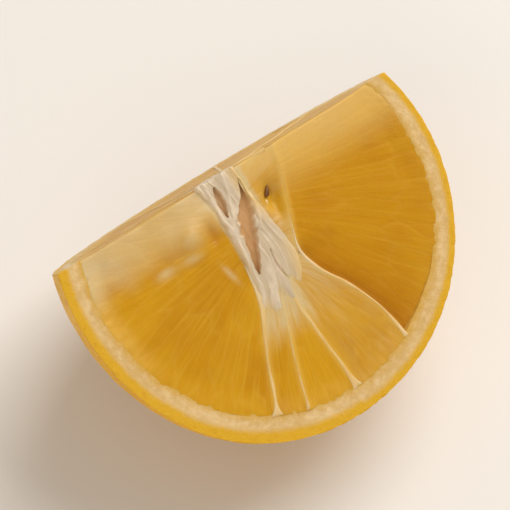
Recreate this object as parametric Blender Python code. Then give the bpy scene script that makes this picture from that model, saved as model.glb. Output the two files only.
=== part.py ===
"""A lemon wedge: the quarter left by one cut lengthwise and one cut across, lying on its peel."""

import math

import bmesh
import bpy
import numpy as np
from mathutils import Matrix

MM = 0.001  # one millimetre, in metres

# The whole fruit. It is almost round, with a blunt tip and no nipple.
FRUIT_RADIUS = 31.2 * MM
FRUIT_HALF_LENGTH = 32.3 * MM
UNEVENNESS = 0.35 * MM  # the height of the slow waves on it
SIDE_WAVE = (3.0, 1.3)  # waves a radian, and their start, to either side
DEEP_WAVE = (2.4, -0.4)  # the same, from the cut face down
SLANT_WAVE = (2.2, 3.4)  # a slanting wave: to the side, and along the axis
SLANT_SHARE = 0.7
FRUIT_SEGMENTS = 64
FRUIT_RINGS = 36

# How it is cut. The crosswise cut is this far beyond the fruit's middle, on the stalk side.
CROSS_CUT_FROM_MIDDLE = 10.0 * MM

# How it lies: tip down by the lean, on a small flat that its weight presses into the peel.
LEAN_DEG = 28.0
FLAT_DEPTH = 0.2 * MM

# The rind is thinner beside the cut across than at the tip.
RIND_LEFT = 3.9 * MM
RIND_RIGHT = 3.3 * MM
RIND_TIP = 4.4 * MM
RIND_CROSS = 3.4 * MM

# The lines on the lengthwise cut, in millimetres: (down from the cut across, right of the axis).
# The second line is the hollow in the core, and lower down a wall. The third is a fine split, then a wall.
LEFT_WALL = ((0, -5.5), (5, -4.7), (15, -4.7), (20, -5.6), (25, -8.0), (30, -10.1), (36, -12.6))
SECOND_LINE = ((0, -0.2), (5, -0.9), (10, -1.5), (15, -3.2), (20, -3.0), (25, -3.8), (30, -5.5), (36, -7.3))
THIRD_LINE = ((0, 1.0), (10, 0.8), (16, -0.2), (20, -0.5), (28, -0.2), (36, 0.6))
RIGHT_WALL = ((0, 8.6), (5, 7.6), (10, 5.8), (16, 4.0), (20, 5.0), (24, 7.6), (30, 10.3), (36, 11.6))
CORE_RIGHT_EDGE = ((0, 2.0), (5, 2.1), (10, 3.0), (16, 3.9))
CORE_NECK = 16.0  # where the core is narrowest and the walls leave it
CORE_LENGTH = 22.0
HOLLOW_LENGTH = 15.5
WALL_WIDTH = 0.4

# Heights on the cuts, in millimetres: above zero stands proud, below zero is sunk.
FLESH_SINK = 0.3
FLESH_RIM = 1.6
WALL_HEIGHT = 0.25
CORE_HEIGHT = 0.3
HOLLOW_DEPTH = 1.6
HOLLOW_HALF_WIDTH = 0.9
RIGHT_STEP = 1.2
RIGHT_STEP_REACH = 5.0
SWELLING = {"at": (-9.5, 5.5), "size": (3.4, 2.8), "height": 0.7}
SEED_POCKET = {"at": (4.6, 7.0), "size": (1.3, 2.8), "height": -1.8}
SEED = {"at": (4.5, 5.0), "size": (0.8, 1.2), "height": 0.9}

# The cut across: the walls run out from the core at these angles, clockwise from the left edge.
CORE_RADIUS = 4.8
CROSS_WALL_DEG = (25.0, 63.0, 104.0, 142.0)

# The grids that carry the relief, and how far the cutters reach past the fruit.
SIDE_COLUMNS = 14
CORE_COLUMNS = 4
RIGHT_CORE_COLUMNS = 8
RIND_COLUMNS = 4
ROW_STEP = 1.2
RIND_ROW = 33.0  # below this depth the columns no longer follow the rind
MARGIN = 4.0
SEGMENT_SPOKES = 6
UPPER_SPOKES = 9
WALL_SPREAD_DEG = 1.6
CROSS_RINGS = 15
CUTTER_REACH = 45.0 * MM


def clear_scene():
    """Removes every object that is already there."""
    for old in list(bpy.data.objects):
        bpy.data.objects.remove(old, do_unlink=True)


def collection(name):
    """A new collection in the scene."""
    made = bpy.data.collections.new(name)
    bpy.context.scene.collection.children.link(made)
    return made


def peel_material():
    """The peel's warm yellow, with the soft gloss of waxed lemon."""
    made = bpy.data.materials.new("lemon_peel_yellow")
    made.use_nodes = True
    shader = made.node_tree.nodes["Principled BSDF"]
    shader.inputs["Base Color"].default_value = (0.80, 0.45, 0.04, 1.0)
    shader.inputs["Roughness"].default_value = 0.38
    shader.inputs["Metallic"].default_value = 0.0
    return made


def object_from(bm, name, home, parent=None):
    """Puts a bmesh into a new object in the collection home."""
    mesh = bpy.data.meshes.new(name)
    bm.to_mesh(mesh)
    bm.free()
    made = bpy.data.objects.new(name, mesh)
    made.parent = parent
    home.objects.link(made)
    return made


def follow(points, v):
    """Reads a line, given as (down, right) points, at the depths v."""
    downs, rights = zip(*points)
    return np.interp(v, downs, rights)


def ridge(distance, width):
    """A smooth bell, 1 where the distance is 0 and nearly 0 beyond twice the width."""
    return np.exp(-((distance / width) ** 2))


def ramp(value, start, end):
    """Rises smoothly from 0 at start to 1 at end."""
    t = np.clip((value - start) / (end - start), 0.0, 1.0)
    return t * t * (3.0 - 2.0 * t)


def mound(u, v, form):
    """A rounded rise, or a pit where its height is below zero, given by its place, size and height."""
    (u_at, v_at), (u_size, v_size) = form["at"], form["size"]
    return form["height"] * ridge(u - u_at, u_size) * ridge(v - v_at, v_size)


def rind_reaches(v, rind):
    """The radius and the half length, in millimetres, of the ellipse along the rind's inner side."""
    below = (FRUIT_HALF_LENGTH - RIND_TIP) / MM
    above = FRUIT_HALF_LENGTH / MM
    return (FRUIT_RADIUS - rind) / MM, np.where(v > CROSS_CUT_FROM_MIDDLE / MM, below, above)


def flesh_edge(v, rind):
    """Distance from the axis to the inner side of the rind at the depth v."""
    radius, reach = rind_reaches(v, rind)
    share = (v - CROSS_CUT_FROM_MIDDLE / MM) / reach
    return radius * np.sqrt(1.0 - share**2)


def flesh_inset(u, v):
    """How far a point of the lengthwise cut lies inside the rind's inner edge, in millimetres."""
    radius, reach = rind_reaches(v, np.where(u < 0.0, RIND_LEFT, RIND_RIGHT))
    return radius * (1.0 - np.hypot(u / radius, (v - CROSS_CUT_FROM_MIDDLE / MM) / reach))


def lengthwise_relief(u, v):
    """Height of the lengthwise cut in millimetres, u right of the axis and v towards the tip.

    The flesh sinks a little below the rind, and the walls between the segments stand proud. The
    right segment drops away behind its wall. The core is proud, with a slanting hollow along it,
    and a pocket beside it holds a seed.
    """
    left, second = follow(LEFT_WALL, v), follow(SECOND_LINE, v)
    third, right = follow(THIRD_LINE, v), follow(RIGHT_WALL, v)
    in_core = ramp(-v, -CORE_LENGTH - 2.0, -CORE_LENGTH + 2.0)
    below_core = ramp(v, CORE_LENGTH - 2.0, CORE_LENGTH + 1.0)
    below_neck = ramp(v, CORE_NECK - 2.0, CORE_NECK + 2.0)

    walls = ridge(u - left, WALL_WIDTH) * below_neck + ridge(u - right, WALL_WIDTH)
    walls += (ridge(u - second, WALL_WIDTH) + ridge(u - third, WALL_WIDTH)) * below_core
    height = walls * (FLESH_SINK + WALL_HEIGHT) - FLESH_SINK

    behind = ramp(u - right, 0.0, WALL_WIDTH) * np.exp(-np.abs(u - right) / RIGHT_STEP_REACH)
    height -= RIGHT_STEP * behind * below_neck
    core_edge = np.where(v < CORE_NECK, follow(CORE_RIGHT_EDGE, v), right)
    across_core = ramp(u, left - WALL_WIDTH, left) * ramp(-u, -core_edge - WALL_WIDTH, -core_edge)
    height += (CORE_HEIGHT + FLESH_SINK) * across_core * in_core

    hollow = ridge(u - second, HOLLOW_HALF_WIDTH) * ramp(v, 0.0, 2.0)
    height -= HOLLOW_DEPTH * hollow * ramp(-v, -HOLLOW_LENGTH - 1.0, 1.0 - HOLLOW_LENGTH)
    height += mound(u, v, SWELLING) + mound(u, v, SEED_POCKET) + mound(u, v, SEED)
    return height * ramp(flesh_inset(u, v), 0.0, FLESH_RIM)


def crosswise_relief(angle_deg, radius):
    """Height of the cut across in millimetres, by the angle from the left edge and the radius.

    The flesh sinks a little below the rind, the walls run out from the core and stand proud, and
    so does the core.
    """
    height = -FLESH_SINK
    for wall in CROSS_WALL_DEG:
        off = radius * math.radians(angle_deg - wall)
        height += (FLESH_SINK + WALL_HEIGHT) * ridge(off, WALL_WIDTH)
    in_core = ramp(-radius, -CORE_RADIUS - 1.0, 0.5 - CORE_RADIUS)
    height += (CORE_HEIGHT - height) * in_core
    rind_edge = float(flesh_edge(0.0, RIND_CROSS))
    return float(height * ramp(-radius, -rind_edge, FLESH_RIM - rind_edge))


def whole_fruit(home, parent):
    """The uncut lemon: a sphere stretched to its two radii, with a few slow uneven waves."""
    bm = bmesh.new()
    half_segment = Matrix.Rotation(math.pi / FRUIT_SEGMENTS, 4, "Z")
    bmesh.ops.create_uvsphere(
        bm, u_segments=FRUIT_SEGMENTS, v_segments=FRUIT_RINGS, radius=1.0, matrix=half_segment
    )
    for vert in bm.verts:
        x, y, z = vert.co
        lumps = math.sin(SIDE_WAVE[0] * x + SIDE_WAVE[1]) * math.sin(DEEP_WAVE[0] * y + DEEP_WAVE[1])
        slant = math.sin(SLANT_WAVE[0] * x + SLANT_WAVE[1] * z)
        grow = UNEVENNESS * (lumps + SLANT_SHARE * slant)
        across = FRUIT_RADIUS + grow
        along = FRUIT_HALF_LENGTH + grow
        vert.co = (x * across, -z * along - CROSS_CUT_FROM_MIDDLE, y * across)
    bmesh.ops.recalc_face_normals(bm, faces=bm.faces)
    return object_from(bm, "lemon_wedge", home, parent)


def close_into_block(bm, offset):
    """Extrudes an open sheet by the offset and flattens the far side, which makes a closed block."""
    sheet = list(bm.faces)
    far = bmesh.ops.extrude_face_region(bm, geom=sheet)["geom"]
    flat_axis = max(range(3), key=lambda axis: abs(offset[axis]))
    for vert in (item for item in far if isinstance(item, bmesh.types.BMVert)):
        vert.co[flat_axis] = offset[flat_axis]
    bmesh.ops.recalc_face_normals(bm, faces=bm.faces)


def grid(columns, rows):
    """An open grid whose points hold their column and row as x and y."""
    bm = bmesh.new()
    bmesh.ops.create_grid(bm, x_segments=columns, y_segments=rows, size=0.5)
    for vert in bm.verts:
        vert.co.x = round((vert.co.x + 0.5) * columns)
        vert.co.y = round((vert.co.y + 0.5) * rows)
    return bm


def spread(stretches):
    """Joins stretches of evenly spaced values, each given as (start, end, count)."""
    parts = [np.linspace(start, end, count, endpoint=False) for start, end, count in stretches]
    return np.append(np.concatenate(parts), stretches[-1][1])


def grid_line(v):
    """Where the grid's columns cross the depth v: they follow the rind's edge and the walls."""
    clear = min(max(v, 0.0), RIND_ROW)
    outer = FRUIT_RADIUS / MM + MARGIN
    left_rind, right_rind = -float(flesh_edge(clear, RIND_LEFT)), float(flesh_edge(clear, RIND_RIGHT))
    lines = [float(follow(line, v)) for line in (LEFT_WALL, SECOND_LINE, THIRD_LINE, RIGHT_WALL)]
    stretches = [(-outer, left_rind, RIND_COLUMNS)]
    start = left_rind
    for line, count in zip(lines, (SIDE_COLUMNS, CORE_COLUMNS, 1, RIGHT_CORE_COLUMNS)):
        stretches.append((start, line - WALL_WIDTH, count))
        stretches.append((line - WALL_WIDTH, line, 1))
        stretches.append((line, line + WALL_WIDTH, 1))
        start = line + WALL_WIDTH
    stretches.append((start, right_rind, SIDE_COLUMNS))
    stretches.append((right_rind, outer, RIND_COLUMNS))
    return spread(stretches)


def spoke_angles():
    """The angles of the grid on the cut across: dense along each wall, and coarse above the axis."""
    stretches = []
    start = -WALL_SPREAD_DEG
    for wall in CROSS_WALL_DEG:
        stretches.append((start, wall - WALL_SPREAD_DEG, SEGMENT_SPOKES))
        stretches.append((wall - WALL_SPREAD_DEG, wall, 1))
        stretches.append((wall, wall + WALL_SPREAD_DEG, 1))
        start = wall + WALL_SPREAD_DEG
    half_turn = 180.0 + WALL_SPREAD_DEG
    stretches.append((start, half_turn, SEGMENT_SPOKES))
    stretches.append((half_turn, 360.0 - WALL_SPREAD_DEG, UPPER_SPOKES))
    return spread(stretches)


def lengthwise_cutter(home, parent):
    """What the lengthwise cut takes off: a block above the cut face, with its relief underneath."""
    top = -MARGIN
    bottom = (FRUIT_HALF_LENGTH + CROSS_CUT_FROM_MIDDLE) / MM + MARGIN
    rows = math.ceil((bottom - top) / ROW_STEP)
    depths = np.linspace(top, bottom, rows + 1)
    lines = np.array([grid_line(depth) for depth in depths])
    heights = lengthwise_relief(lines, depths[:, None])
    bm = grid(lines.shape[1] - 1, rows)
    for vert in bm.verts:
        column, row = int(vert.co.x), int(vert.co.y)
        vert.co = (lines[row, column] * MM, -depths[row] * MM, heights[row, column] * MM)
    close_into_block(bm, (0.0, 0.0, CUTTER_REACH))
    return object_from(bm, "cut_lengthwise", home, parent)


def crosswise_cutter(home, parent):
    """What the cut across takes off: a round block beyond the cut face, with its relief on it."""
    outer = FRUIT_RADIUS / MM + MARGIN
    angles = spoke_angles()
    bm = grid(len(angles) - 1, CROSS_RINGS)
    for vert in bm.verts:
        angle = angles[int(vert.co.x)]
        radius = outer * vert.co.y / CROSS_RINGS
        height = crosswise_relief(angle, radius)
        turn = math.radians(angle)
        vert.co = (-radius * math.cos(turn) * MM, height * MM, -radius * math.sin(turn) * MM)
    bmesh.ops.remove_doubles(bm, verts=bm.verts, dist=0.001 * MM)
    close_into_block(bm, (0.0, CUTTER_REACH, 0.0))
    return object_from(bm, "cut_across", home, parent)


def floor_cutter(home):
    """A slab below the surface it lies on, which gives the peel its small flat."""
    bm = bmesh.new()
    bmesh.ops.create_cube(bm, size=2.0 * CUTTER_REACH)
    bmesh.ops.translate(bm, verts=bm.verts, vec=(0.0, 0.0, -CUTTER_REACH))
    return object_from(bm, "resting_surface", home)


def height_over_floor(lean):
    """How high the fruit's middle is when the leaning fruit touches the floor and is pressed in."""
    reach = math.hypot(FRUIT_HALF_LENGTH * math.sin(lean), FRUIT_RADIUS * math.cos(lean))
    return reach - FLAT_DEPTH


def cut_away(body, cutter):
    """Subtracts the cutter from the body with an exact Boolean modifier."""
    cut = body.modifiers.new(cutter.name, "BOOLEAN")
    cut.operation = "DIFFERENCE"
    cut.solver = "EXACT"
    cut.object = cutter
    cutter.hide_render = True
    cutter.display_type = "WIRE"


def main():
    """Builds the whole fruit leaning as it lies, and cuts it down to the wedge."""
    clear_scene()
    parts = collection("lemon_wedge")
    cutters = collection("cutters")
    lean = math.radians(LEAN_DEG)
    pose = bpy.data.objects.new("lean", None)
    parts.objects.link(pose)
    pose.rotation_euler = (lean, 0.0, 0.0)
    pose.location = (
        0.0,
        CROSS_CUT_FROM_MIDDLE * math.cos(lean),
        height_over_floor(lean) + CROSS_CUT_FROM_MIDDLE * math.sin(lean),
    )
    wedge = whole_fruit(parts, pose)
    cut_away(wedge, lengthwise_cutter(cutters, pose))
    cut_away(wedge, crosswise_cutter(cutters, pose))
    cut_away(wedge, floor_cutter(cutters))
    wedge.data.materials.append(peel_material())
    wedge.data.shade_smooth()
    wedge.data.set_sharp_from_angle(angle=math.radians(40.0))


main()
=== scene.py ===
import math

import bpy
import numpy as np
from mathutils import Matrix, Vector


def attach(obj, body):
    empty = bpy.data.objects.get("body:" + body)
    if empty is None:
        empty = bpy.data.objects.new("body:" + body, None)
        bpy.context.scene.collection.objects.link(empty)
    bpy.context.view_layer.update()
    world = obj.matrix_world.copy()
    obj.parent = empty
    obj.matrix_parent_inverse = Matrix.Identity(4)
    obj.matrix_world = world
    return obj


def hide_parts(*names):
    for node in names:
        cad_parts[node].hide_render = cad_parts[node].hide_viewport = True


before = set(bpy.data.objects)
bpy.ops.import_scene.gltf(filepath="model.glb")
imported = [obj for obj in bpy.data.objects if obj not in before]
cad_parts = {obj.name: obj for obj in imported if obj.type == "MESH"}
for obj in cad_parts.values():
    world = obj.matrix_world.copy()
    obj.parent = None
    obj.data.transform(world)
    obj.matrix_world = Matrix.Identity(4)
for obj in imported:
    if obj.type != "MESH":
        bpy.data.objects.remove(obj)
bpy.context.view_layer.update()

# Rind
# The outside of the wedge: a shell of waxy yellow peel, nearly 2 mm thick, over spongy cream pith.
# The knife left its edge flat on both cuts, and the wedge's weight presses a small flat into it
# where it lies.
MM = 0.001
FRUIT_RADIUS = 31.2
FRUIT_HALF_LENGTH = 32.3
CUT_FROM_MIDDLE = 10.0
LEAN = math.radians(28.0)
FLAT_DEPTH = 0.2
UNEVENNESS = 0.35
SIDE_WAVE = (3.0, 1.3)
DEEP_WAVE = (2.4, -0.4)
SLANT_WAVE = (2.2, 3.4)
SLANT_SHARE = 0.7
RIND_LEFT = 3.9
RIND_RIGHT = 3.3
RIND_TIP = 4.4
RIND_CROSS = 3.4
RIND_WOBBLE = 0.24
RIND_WOBBLE_SIZE = 3.5
RIND_RIPPLE = 0.06
RIND_RIPPLE_SIZE = 1.2
RIND_GRAIN = 0.05
RIND_GRAIN_SIZE = 0.7
INNER_DIP = 0.07
KNIFE_EDGE = 0.12
INNER_SHARE = 0.86
LENGTHWISE_COLUMNS = 300
CROSS_COLUMNS = 200
SKIN_ROWS = 130
EDGE_ROWS = 14
EDGE_ROW_SPREAD = 1.15
INSIDE_ROWS = (0.92, 0.75, 0.5, 0.25)
SKIN_LUMPS = 0.06
SKIN_LUMP_SIZE = 0.09
PORE_COUNT = 8200
PORE_NUDGE = 0.011
PORE_SIZES = (0.7, 1.25)
PORE_RADIUS = 0.42
PORE_DEPTH = 0.12
RIGHT_PEEL_SPREAD = 0.78
GOLDEN_ANGLE = math.pi * (3.0 - math.sqrt(5.0))
PEEL = ((0.78, 0.43, 0.006, 1), (0.72, 0.35, 0.004, 1))
PORE_COLOUR = (0.70, 0.345, 0.004, 1)
PEEL_EDGE = ((0.70, 0.40, 0.010, 1), (0.66, 0.36, 0.008, 1))
PITH = ((0.76, 0.55, 0.27, 1), (0.655, 0.43, 0.155, 1))
PITH_INSIDE = (0.62, 0.36, 0.05, 1)
GLOW_THROUGH = (1.0, 0.75, 0.4)
SHARP_FROM = math.radians(50.0)
MIDDLE_HEIGHT = (
    math.hypot(FRUIT_HALF_LENGTH * math.sin(LEAN), FRUIT_RADIUS * math.cos(LEAN)) - FLAT_DEPTH
)


def place(points):
    """Carries points drawn on the cut face, in millimetres, to the part's frame, in metres.

    They are drawn right of the fruit's axis, down from the cut across towards the tip, and out of
    the lengthwise cut. The face turns by the lean about the level top edge, and the fruit's middle
    goes to its height over the origin. What would be below the floor is pressed flat onto it.
    """
    right, down, out = np.moveaxis(np.asarray(points, float), -1, 0)
    ahead = CUT_FROM_MIDDLE - down
    back = ahead * math.cos(LEAN) - out * math.sin(LEAN)
    up = MIDDLE_HEIGHT + ahead * math.sin(LEAN) + out * math.cos(LEAN)
    return np.stack((right, back, np.maximum(up, 0.0)), axis=-1) * MM


def drift(x, y, seed):
    """Smooth random values from -1 to 1: seeded random heights on a unit lattice, eased between."""
    table = np.random.default_rng(seed).uniform(-1.0, 1.0, (64, 64))
    column, row = np.floor(x).astype(int), np.floor(y).astype(int)
    along, across = x - column, y - row
    along, across = along * along * (3.0 - 2.0 * along), across * across * (3.0 - 2.0 * across)
    near = table[column % 64, row % 64] * (1.0 - along) + table[(column + 1) % 64, row % 64] * along
    column, row = column % 64, (row + 1) % 64
    far = table[column, row] * (1.0 - along) + table[(column + 1) % 64, row] * along
    return near * (1.0 - across) + far * across


def roughness_at(points, size, seed):
    """Smooth random values from -1 to 1 in space, from two slanting slices of the same drift."""
    right, down, out = np.moveaxis(points / size, -1, 0)
    first = drift(right + 0.6 * out, down - 0.8 * out, seed)
    return 0.7 * first + 0.5 * drift(down + 0.5 * right, out - 0.4 * down, seed + 1)


def skin(way):
    """The peel's surface in a unit direction from the middle: an ellipsoid grown by slow waves."""
    right, tip, out = np.moveaxis(way, -1, 0)
    lumps = np.sin(SIDE_WAVE[0] * right + SIDE_WAVE[1]) * np.sin(DEEP_WAVE[0] * out + DEEP_WAVE[1])
    slant = np.sin(SLANT_WAVE[0] * right + SLANT_WAVE[1] * tip)
    grow = UNEVENNESS * (lumps + SLANT_SHARE * slant)
    across, along = FRUIT_RADIUS + grow, FRUIT_HALF_LENGTH + grow
    return np.stack((right * across, tip * along + CUT_FROM_MIDDLE, out * across), axis=-1)


def cross_cut_way(turn):
    """Directions whose skin lies on the cut across, from the left edge (0) under to the right (pi).

    The share of the direction that points to the tip is found by repeating: the cut's distance
    over the half length that the last guess gives.
    """
    tip = np.full_like(turn, -CUT_FROM_MIDDLE / FRUIT_HALF_LENGTH)
    for _ in range(5):
        side = np.sqrt(1.0 - tip**2)
        way = np.stack((-np.cos(turn) * side, tip, -np.sin(turn) * side), axis=-1)
        tip = -CUT_FROM_MIDDLE * tip / (skin(way)[..., 1] - CUT_FROM_MIDDLE)
    return way


def pore_depth(ways):
    """Depth of the peel's pores: a bell-shaped pit round the nearest of many pores.

    The pores are spread evenly by the golden angle, nudged at random, and differ in size.
    """
    rng = np.random.default_rng(11)
    index = np.arange(PORE_COUNT) + 0.5
    level = 1.0 - 2.0 * index / PORE_COUNT
    side = np.sqrt(1.0 - level**2)
    turn = index * GOLDEN_ANGLE
    pores = np.stack((side * np.cos(turn), level, side * np.sin(turn)), axis=-1)
    pores += rng.normal(0.0, PORE_NUDGE, pores.shape)
    pores /= np.linalg.norm(pores, axis=-1, keepdims=True)
    size = rng.uniform(*PORE_SIZES, PORE_COUNT)
    kept = pores[:, 2] < 0.05
    pores, size = pores[kept].astype(np.float32), size[kept]
    flat = ways.reshape(-1, 3).astype(np.float32)
    depth = []
    for part in np.array_split(flat, 64):
        nearness = part @ pores.T
        nearest = nearness.argmax(axis=1)
        cosine = np.take_along_axis(nearness, nearest[:, None], axis=1)[:, 0]
        distance = FRUIT_RADIUS * np.arccos(np.clip(cosine, -1.0, 1.0))
        depth.append(size[nearest] * np.exp(-((distance / (PORE_RADIUS * size[nearest])) ** 2)))
    return PORE_DEPTH * np.concatenate(depth).reshape(ways.shape[:-1])


def rind_reaches(down, rind):
    """The radius and the half length of the ellipse along the rind's inner side."""
    below, above = FRUIT_HALF_LENGTH - RIND_TIP, FRUIT_HALF_LENGTH
    return FRUIT_RADIUS - rind, np.where(down > CUT_FROM_MIDDLE, below, above)


def cross_rind_reach(turn):
    """Distance from the axis to the rind's inner edge on the cut across.

    The fruit's radius less the rind, which grows from the middle's to the side's by the cosine
    squared, is cut down to the circle that the knife left.
    """
    side = np.where(turn < 0.5 * math.pi, RIND_LEFT, RIND_RIGHT)
    rind = RIND_CROSS + (side - RIND_CROSS) * np.cos(turn) ** 2
    return (FRUIT_RADIUS - rind) * math.sin(math.acos(-CUT_FROM_MIDDLE / FRUIT_HALF_LENGTH))


def ring_faces(count, columns):
    """Quads between closed rings of points, and a fan at each end onto the two points after them."""
    here = np.arange(count * columns).reshape(count, columns)
    beside = np.roll(here, -1, axis=1)
    quads = np.stack((here[:-1], beside[:-1], beside[1:], here[1:]), axis=-1).reshape(-1, 4)
    first = np.stack((beside[0], here[0], np.full(columns, count * columns)), axis=-1)
    last = np.stack((here[-1], beside[-1], np.full(columns, count * columns + 1)), axis=-1)
    return quads, first, last


def make_piece(name, points, faces, material, values=(), flow=None):
    """Makes a closed piece: points in millimetres on the cut face, and lists of quads and triangles.

    values holds (name, one value a point) pairs, and flow a pattern coordinate for each corner.
    The faces are turned over if the volume that they enclose comes out below zero.
    """
    places = place(points)
    corners = [np.asarray(group) for group in faces if len(group)]
    volume = 0.0
    for group in corners:
        first = places[group[:, 0]]
        for k in range(1, group.shape[1] - 1):
            cross = np.cross(places[group[:, k]], places[group[:, k + 1]])
            volume += float((first * cross).sum())
    turned = [group if volume > 0.0 else group[:, ::-1] for group in corners]
    mesh = bpy.data.meshes.new(name)
    mesh.from_pydata(places.tolist(), [], [face for group in turned for face in group.tolist()])
    for key, value in values:
        layer = mesh.attributes.new(key, "FLOAT", "POINT")
        layer.data.foreach_set("value", np.asarray(value, np.float32).ravel())
    if flow is not None:
        chosen = flow if volume > 0.0 else [group[:, ::-1] for group in flow]
        uv = np.concatenate([group.reshape(-1, 2) for group in chosen])
        mesh.uv_layers.new(name="flow").data.foreach_set("uv", uv.astype(np.float32).ravel())
    mesh.shade_smooth()
    mesh.set_sharp_from_angle(angle=SHARP_FROM)
    mesh.materials.append(material)
    piece = bpy.data.objects.new(name, mesh)
    bpy.context.scene.collection.objects.link(piece)
    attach(piece, "root")
    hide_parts("lemon_wedge")
    return piece


def new_material(name, **constants):
    """A material whose Principled shader takes the given constants on its own sockets."""
    material = bpy.data.materials.new(name)
    material.use_nodes = True
    shader = material.node_tree.nodes["Principled BSDF"]
    for key, value in constants.items():
        shader.inputs[key.replace("_", " ").title().replace("Ior", "IOR")].default_value = value
    return material, material.node_tree, shader


def add_node(tree, kind, inputs=(), **settings):
    """Adds a shader node with its settings, and gives each named input a value or a link."""
    node = tree.nodes.new(kind)
    for key, value in settings.items():
        setattr(node, key, value)
    for key, value in inputs:
        if isinstance(value, bpy.types.NodeSocket):
            tree.links.new(value, node.inputs[key])
        else:
            node.inputs[key].default_value = value
    return node


def blend(tree, share, first, second):
    """A colour between two others, by a share from 0 to 1."""
    node = add_node(tree, "ShaderNodeMix", data_type="RGBA")
    for number, value in ((0, share), (6, first), (7, second)):
        if isinstance(value, bpy.types.NodeSocket):
            tree.links.new(value, node.inputs[number])
        else:
            node.inputs[number].default_value = value
    return node.outputs[2]


def spread_share(tree, value, low, high, start=0.0, end=1.0):
    """Maps a value from its range low to high onto start to end, without going past them."""
    limits = (("From Min", low), ("From Max", high), ("To Min", start), ("To Max", end))
    inputs = (("Value", value),) + limits
    return add_node(tree, "ShaderNodeMapRange", inputs, interpolation_type="SMOOTHSTEP").outputs[0]


def in_frame(tree):
    """Coordinates in the part's own frame, in metres."""
    return add_node(tree, "ShaderNodeTexCoord").outputs["Object"]


def attribute(tree, name):
    """Reads one of the piece's own values."""
    return add_node(tree, "ShaderNodeAttribute", attribute_name=name).outputs["Fac"]


def mottle(tree, where, scale, detail=3.0, roughness=0.55):
    """Soft noise in the given coordinates."""
    inputs = (("Vector", where), ("Scale", scale), ("Detail", detail), ("Roughness", roughness))
    return add_node(tree, "ShaderNodeTexNoise", inputs).outputs["Fac"]


def product(tree, first, second):
    """Two values multiplied."""
    return add_node(tree, "ShaderNodeMath", ((0, first), (1, second)), operation="MULTIPLY").outputs[0]


def total(tree, first, second):
    """Two values added."""
    return add_node(tree, "ShaderNodeMath", ((0, first), (1, second)), operation="ADD").outputs[0]


def dress(tree, shader, colour, gloss, height=None, strength=0.0, distance=0.0):
    """Leads a colour and a roughness to the shader, and a bump by a height over a distance in metres."""
    tree.links.new(colour, shader.inputs["Base Color"])
    if gloss is not None:
        tree.links.new(gloss, shader.inputs["Roughness"])
    if height is not None:
        inputs = (("Height", height), ("Strength", strength), ("Distance", distance))
        bump = add_node(tree, "ShaderNodeBump", inputs)
        tree.links.new(bump.outputs[0], shader.inputs["Normal"])


def rind_material():
    """Waxy golden peel with darker pores outside; bright yellow, then cream, across its cut edge.

    The value depth runs from 0 at the skin to 1 at the pith's inner side.
    """
    material, tree, shader = new_material(
        "lemon_rind", subsurface_weight=0.3, subsurface_scale=0.0008, subsurface_radius=GLOW_THROUGH,
        ior=1.42, coat_weight=0.05, coat_roughness=0.3
    )
    where, depth = in_frame(tree), attribute(tree, "depth")
    cloud, grain = mottle(tree, where, 60.0), mottle(tree, where, 900.0)
    cells = add_node(tree, "ShaderNodeTexVoronoi", (("Vector", where), ("Scale", 760.0)))
    pores = cells.outputs["Distance"]
    golden = blend(tree, spread_share(tree, cloud, 0.35, 0.7), *PEEL)
    pored = spread_share(tree, attribute(tree, "pore"), 0.1, 1.0)
    skin_colour = blend(tree, pored, golden, PORE_COLOUR)
    wavy = total(tree, depth, spread_share(tree, grain, 0.2, 0.8, -0.05, 0.05))
    glands = spread_share(tree, pores, 0.12, 0.42, 1.0, 0.0)
    below_skin = spread_share(tree, wavy, 0.03, 0.09)
    in_peel = product(tree, below_skin, spread_share(tree, wavy, 0.26, 0.36, 1.0, 0.0))
    peel_edge = blend(tree, product(tree, glands, in_peel), *PEEL_EDGE)
    pith = blend(tree, spread_share(tree, total(tree, cloud, grain), 0.75, 1.2), *PITH)
    inner = blend(tree, spread_share(tree, wavy, 0.66, 1.0, 0.0, 0.9), pith, PITH_INSIDE)
    edge_colour = blend(tree, spread_share(tree, wavy, 0.28, 0.54), peel_edge, inner)
    on_skin = spread_share(tree, depth, 0.001, 0.02, 1.0, 0.0)
    colour = blend(tree, on_skin, edge_colour, skin_colour)
    gloss = spread_share(tree, grain, 0.3, 0.7, 0.42, 0.55)
    fine = total(tree, grain, mottle(tree, where, 2600.0, 2.0))
    dimples = product(tree, spread_share(tree, pores, 0.1, 0.5), product(tree, on_skin, 1.6))
    dress(tree, shader, colour, gloss, total(tree, fine, dimples), 0.45, 0.0002)
    return material


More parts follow.
